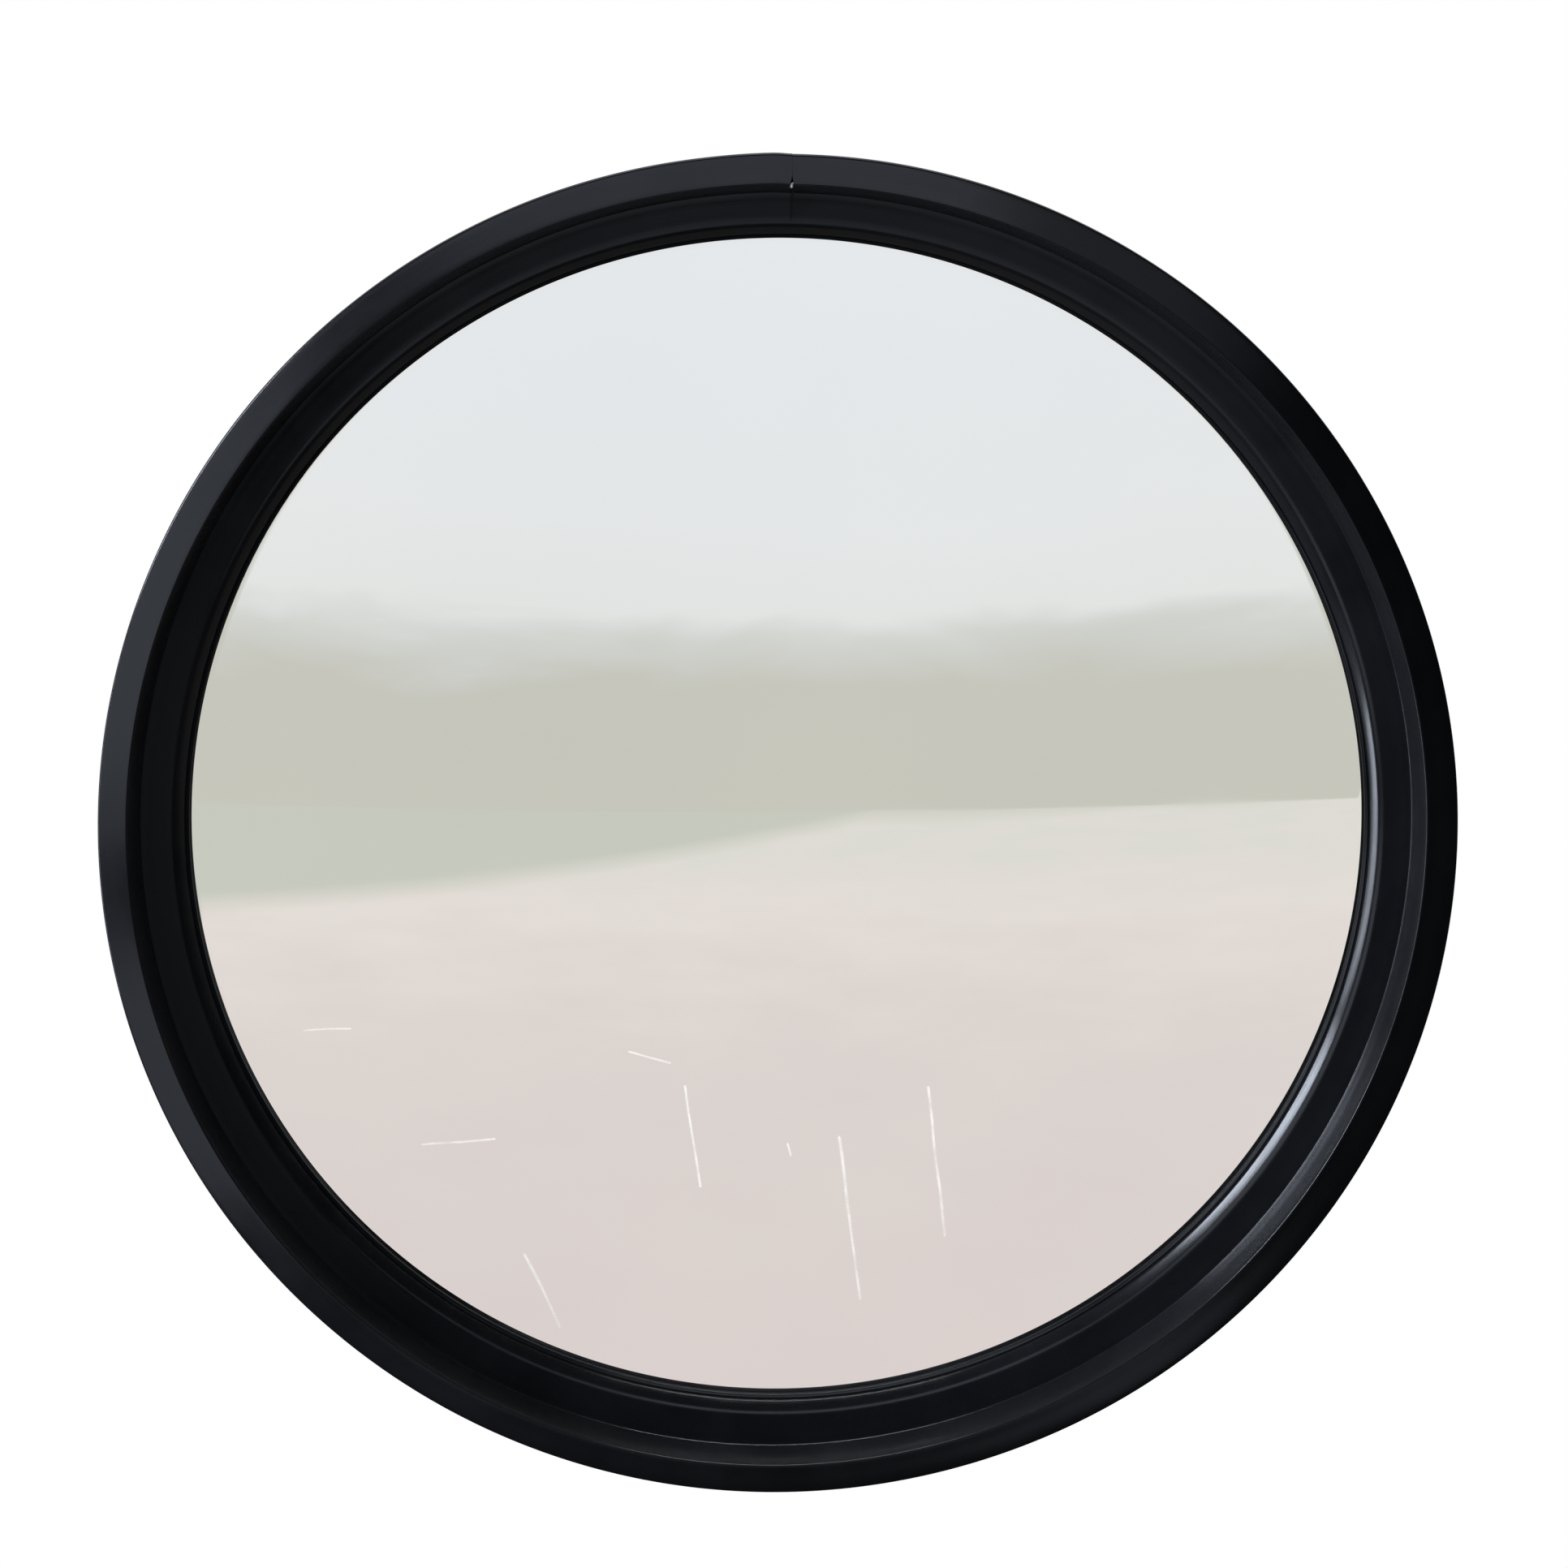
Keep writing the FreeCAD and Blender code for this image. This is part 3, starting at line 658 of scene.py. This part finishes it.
def weld_section(work, base, out_a, out_b, leg, root, steps):
    """Vertices of one convex fillet section between two directions."""
    section = []
    for i in range(steps + 1):
        turn = math.pi / 2 * i / steps
        bulge = leg * (0.98 - 0.12 * math.sin(2 * turn)) + root
        reach = out_a * (bulge * math.cos(turn)) + out_b * (bulge * math.sin(turn))
        section.append(work.verts.new(base + reach))
    return section


def weld_bead(start, end, out_a, out_b, size, name):
    """Rippled fillet weld from start to end, in the corner whose faces lie towards -out_a and -out_b."""
    start, end = Vector(start), Vector(end)
    run = (end - start).length
    rows = max(24, int(run / (0.16 * MM)))
    root = 0.25 * size

    def build(work):
        rings = []
        for k in range(rows + 1):
            share = k / rows
            taper = 0.35 + 0.65 * math.sqrt(max(0.0, 1 - (2 * share - 1) ** 10))
            wander = 0.12 * noise.noise(Vector((share * run * 260, run * 900, 0.0)))
            base = start.lerp(end, share) - (out_a + out_b) * root
            leg = taper * weld_size(size, run * share, wander)
            rings.append([work.verts.new(base)] + weld_section(work, base, out_a, out_b, leg, root, 12))
        bridge(work, rings)
        work.faces.new(rings[0])
        work.faces.new(rings[-1])

    return mesh_from(build, name)


def ring_weld(centre, radius, size, name):
    """Rippled fillet weld round a tube, on the face of the collar that looks to +Y."""
    steps = 360
    root = 0.25 * size

    def build(work):
        rings = []
        for k in range(steps):
            turn = TURN * k / steps
            out = Vector((math.cos(turn), 0, math.sin(turn)))
            base = Vector(centre) + out * (radius - root)
            leg = weld_size(size, turn * radius, 0.10 * noise.noise(out * 5.0))
            rings.append(weld_section(work, base, out, Y, leg, root, 10) + [work.verts.new(base)])
        bridge(work, rings, closed=True)

    return mesh_from(build, name)


def plate_welds(clevis, side_axis, plate_y, away):
    """The two beads where a clevis stands on its plate, one on each side along side_axis."""
    low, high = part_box(clevis)
    run_axis = Z if side_axis == X else X
    beads = []
    for side in (-1, 1):
        edge = side_axis * (side * high.dot(side_axis)) + Y * plate_y
        start = edge + run_axis * (low.dot(run_axis) + WELD_INSET)
        end = edge + run_axis * (high.dot(run_axis) - WELD_INSET)
        beads.append(weld_bead(start, end, side_axis * side, away, PLATE_WELD, "weld"))
    return joined(beads, clevis + "_beads")


bolts = new_object("threaded_head_bolts", joined(head_bolt_meshes(), "head_bolts_mesh"), finishes["zinc"])
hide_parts("head_bolts")

nuts = new_object("chamfered_nuts", joined(hex_nut_meshes(), "nuts_mesh"), finishes["zinc"])
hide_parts("head_nuts")

wall_beads = plate_welds("wall_clevis", X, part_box("wall_plate")[0].y, -Y)
weld = new_object("wall_plate_welds", wall_beads, finishes["bracket"], "wall_bracket")

head_beads = plate_welds("head_clevis", Z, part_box("head_plate")[1].y, Y)
weld = new_object("head_plate_welds", head_beads, finishes["bracket"])

collar_face, tube_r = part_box("lock_collar")[1].y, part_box("outer_tube")[1].x
collar_bead = ring_weld((0, collar_face, 0), tube_r, COLLAR_WELD, "collar_weld_mesh")
weld = new_object("collar_weld", collar_bead, finishes["bracket"], "arm_outer")


# ---- the studio ----
CENTRE = Vector((0.0, SEAT_Y - WIDEST * MM, 0.0))
FLOOR_Z = -1.4
SKY_R = 9.0
COOL = (0.91, 0.99, 1.15)                       # daylight tint of the trim's lights
PALE = {"zinc", "knuckle", "tube", "nylon"}     # slots of the pale pieces, which need less light

scene = bpy.context.scene
scene.view_settings.view_transform = "Standard"


def aim(obj, target):
    obj.rotation_mode = "QUATERNION"
    obj.rotation_quaternion = (Vector(target) - obj.location).to_track_quat("-Z", "Y")


def direction(azimuth, elevation):
    """Unit vector from the object. Azimuth 0 points along -Y, in front, and turns towards +X."""
    a, e = math.radians(azimuth), math.radians(elevation)
    return Vector((math.sin(a) * math.cos(e), -math.cos(a) * math.cos(e), math.sin(e)))


def group_of(name, members):
    """Collection that only says what a light reaches."""
    group = bpy.data.collections.new(name)
    for member in members:
        group.objects.link(member)
    return group


slots = {part["node"]: part["material_slot"] for part in frame["record"]["subparts"]}
pale_pieces = [frame["nodes"][node] for node, slot in slots.items() if slot in PALE] + [bolts, nuts]
trim_pieces = [trim, glint_fleck]
dark_pieces = [o for o in scene.objects if o.type == "MESH" and o not in [lens] + trim_pieces + pale_pieces]
TRIM_ONLY = group_of("trim_only", trim_pieces)
LENS_ONLY = group_of("lens_only", [lens])
METALS = group_of("metals", pale_pieces)
HARDWARE = group_of("hardware", dark_pieces)
REFLECTING = group_of("reflecting", [lens] + pale_pieces)

# Name, what it reaches, azimuth and elevation in degrees, distance, width, height, radiance.
LIGHTS = [
    ("trim_left", TRIM_ONLY, -45, 10, 2.8, 1.3, 2.0, 0.85),
    ("trim_low_left", TRIM_ONLY, -40, -25, 2.0, 0.8, 0.6, 0.65),
    ("trim_top", TRIM_ONLY, -6, 37, 2.8, 2.0, 0.9, 0.76),
    ("trim_top_right", TRIM_ONLY, 24, 26, 2.8, 0.9, 0.8, 0.30),
    ("trim_right", TRIM_ONLY, 24, -6, 2.8, 1.1, 1.2, 0.11),
    ("trim_floor", TRIM_ONLY, 3, -37, 1.6, 1.4, 0.7, 0.34),
    ("trim_side", TRIM_ONLY, -79, 25, 2.4, 0.55, 1.1, 20.0),
    ("trim_side_low", TRIM_ONLY, -81, -8, 2.4, 0.35, 1.3, 8.5),
    ("trim_flank", TRIM_ONLY, 127, 5, 2.6, 0.5, 2.4, 0.7),
    ("trim_back", TRIM_ONLY, 180, 60, 2.6, 1.8, 1.0, 0.9),
    ("lens_top", LENS_ONLY, 0, 66, 2.6, 1.6, 1.0, 12.0),
    ("work_top", HARDWARE, 170, 62, 2.4, 2.2, 1.6, 5.0),
    ("work_left", HARDWARE, -125, 18, 2.6, 1.2, 1.8, 6.0),
    ("work_right", HARDWARE, 120, 22, 2.6, 1.2, 1.8, 4.5),
    ("work_low", HARDWARE, 180, -42, 1.5, 1.6, 0.9, 0.9),
    ("metal_top", METALS, 170, 62, 2.4, 2.2, 1.6, 1.0),
    ("metal_left", METALS, -125, 18, 2.6, 1.2, 1.8, 1.2),
    ("metal_right", METALS, 120, 22, 2.6, 1.2, 1.8, 1.0),
]


def softbox(name, reach, azimuth, elevation, distance, width, height, radiance):
    """Rectangular light of a given radiance. It faces the mirror and lights only the pieces in reach."""
    data = bpy.data.lights.new(name, "AREA")
    data.shape = "RECTANGLE"
    data.size, data.size_y = width, height
    data.energy = radiance * math.pi * width * height
    if reach is TRIM_ONLY:
        data.color = COOL
    made = bpy.data.objects.new(name, data)
    scene.collection.objects.link(made)
    made.location = CENTRE + direction(azimuth, elevation) * distance
    aim(made, CENTRE)
    made.light_linking.receiver_collection = reach


def camera():
    """Long lens in front of the mirror, slightly above it and to the left."""
    data = bpy.data.cameras.new("camera")
    data.sensor_width = 36.0
    data.lens = 208.4
    made = bpy.data.objects.new("camera", data)
    scene.collection.objects.link(made)
    target = CENTRE + Vector((0.0017, 0.0, 0.0160))
    made.location = target + direction(-1.3, 10.2) * 3.0
    aim(made, target)
    scene.camera = made


def studio_world():
    """Dim studio round the object, brighter overhead and behind, and plain white to the camera."""
    world = bpy.data.worlds.new("studio")
    scene.world = world
    world.use_nodes = True
    tree = world.node_tree
    tree.nodes.clear()

    def node(kind, **inputs):
        made = tree.nodes.new("ShaderNode" + kind)
        for key, value in inputs.items():
            made.inputs[key.replace("_", " ")].default_value = value
        return made

    place, split, path = node("TexCoord"), node("SeparateXYZ"), node("LightPath")
    rise = node("MapRange", From_Min=0.2, From_Max=1.0, To_Min=0.0, To_Max=0.32)
    depth = node("MapRange", From_Min=-0.2, From_Max=0.8, To_Min=0.10, To_Max=0.22)
    total = node("Math")
    total.operation = "ADD"
    lit = node("Background", Color=(0.97, 0.985, 1.0, 1))
    seen = node("Background", Color=(1, 1, 1, 1))
    mix = tree.nodes.new("ShaderNodeMixShader")
    out = tree.nodes.new("ShaderNodeOutputWorld")
    for source, socket in (
        (place.outputs["Generated"], split.inputs[0]),
        (split.outputs["Z"], rise.inputs[0]), (split.outputs["Y"], depth.inputs[0]),
        (rise.outputs[0], total.inputs[0]), (depth.outputs[0], total.inputs[1]),
        (total.outputs[0], lit.inputs["Strength"]), (path.outputs["Is Camera Ray"], mix.inputs[0]),
        (lit.outputs[0], mix.inputs[1]), (seen.outputs[0], mix.inputs[2]), (mix.outputs[0], out.inputs[0]),
    ):
        tree.links.new(source, socket)


def glowing(name, mesh, color, g):
    """Stage piece whose glow reaches the mirror and the pale metals.

    A second reflection of it is much dimmer, so that the bright mirror isn't repeated in the trim.
    """
    g.feed("Emission Color", color)
    bounces = g.node("ShaderNodeLightPath").outputs["Glossy Depth"]
    g.feed("Emission Strength", g.range(bounces, 1.0, 2.0, 1.0, 0.11))
    made = bpy.data.objects.new(name, mesh)
    scene.collection.objects.link(made)
    made.data.materials.append(g.material)
    made.light_linking.receiver_collection = REFLECTING
    return made


def sky_dome():
    """Pale dome ahead of the mirror, cool overhead and hazy low down. The camera doesn't see it."""
    def build(work):
        columns, rows = 64, 40
        grid = []
        for i in range(columns + 1):
            ways = [direction(-110 + 220 * i / columns, -14 + 104 * (j / rows)) for j in range(rows + 1)]
            grid.append([work.verts.new(way * SKY_R) for way in ways])
        bridge(work, grid, around=False)

    g = Graph("sky_glow", Base_Color=(0, 0, 0, 1), Roughness=1.0, IOR=1.0)
    height = g.node("ShaderNodeSeparateXYZ", {0: g.scaled((1 / SKY_R,) * 3)}).outputs[2]
    cloud = g.noise(0.42, 4, 0.55, vector=g.scaled((1, 1, 2.6)), distortion=0.4)
    level = g.math("MULTIPLY_ADD", cloud, 0.10, g.math("ADD", height, 0.20))
    shade = g.ramp(
        level,
        (0.0, (0.645, 0.640, 0.565)), (0.215, (0.640, 0.638, 0.570)),       # haze
        (0.258, (0.73, 0.74, 0.71)), (0.288, (0.87, 0.88, 0.87)),           # its upper edge
        (0.36, (0.885, 0.90, 0.905)), (0.50, (0.875, 0.905, 0.93)), (0.85, (0.90, 0.935, 0.97)))
    dome = glowing("sky_dome", mesh_from(build, "sky_dome"), shade, g)
    dome.visible_camera = False
    dome.visible_shadow = False


def studio_floor():
    """Pale floor, warm in front of the mirror. It turns to plain white behind the wall line."""
    def build(work):
        corners = [work.verts.new(p) for p in ((-12, -14, 0), (12, -14, 0), (12, 2.2, 0), (-12, 2.2, 0))]
        work.faces.new(corners)

    g = Graph("floor_glow", Base_Color=(0.10, 0.10, 0.10, 1), Roughness=0.9)
    across = g.node("ShaderNodeSeparateXYZ", {0: g.place})
    ahead = g.range(across.outputs[1], -8.0, -9.2, 0.0, 1.0)
    aside = g.range(g.vector("DOT_PRODUCT", g.place, (-0.71, -0.70, 0), output="Value"), 5.1, 5.6, 0.0, 1.0)
    near = g.range(g.vector("LENGTH", g.place, output="Value"), 1.2, 7.0, 0.0, 0.6)
    mottle = g.math("MULTIPLY", g.math("SUBTRACT", g.noise(1.6, 4, 0.6), 0.5), 0.35)
    tone = g.ramp(
        g.math("ADD", near, mottle), (0.0, (0.775, 0.695, 0.675)), (0.25, (0.80, 0.73, 0.695)),
        (0.45, (0.86, 0.80, 0.75)), (0.62, (0.80, 0.785, 0.72)))
    grounded = g.blend(g.math("MAXIMUM", ahead, aside), tone, (0.630, 0.645, 0.565))
    white = g.range(across.outputs[1], -0.2, 1.6, 0.0, 1.0)
    floor = glowing("floor", mesh_from(build, "floor"), g.blend(white, grounded, (1.0, 1.0, 1.0)), g)
    floor.location.z = FLOOR_Z


camera()
studio_world()
sky_dome()
studio_floor()
for light in LIGHTS:
    softbox(*light)
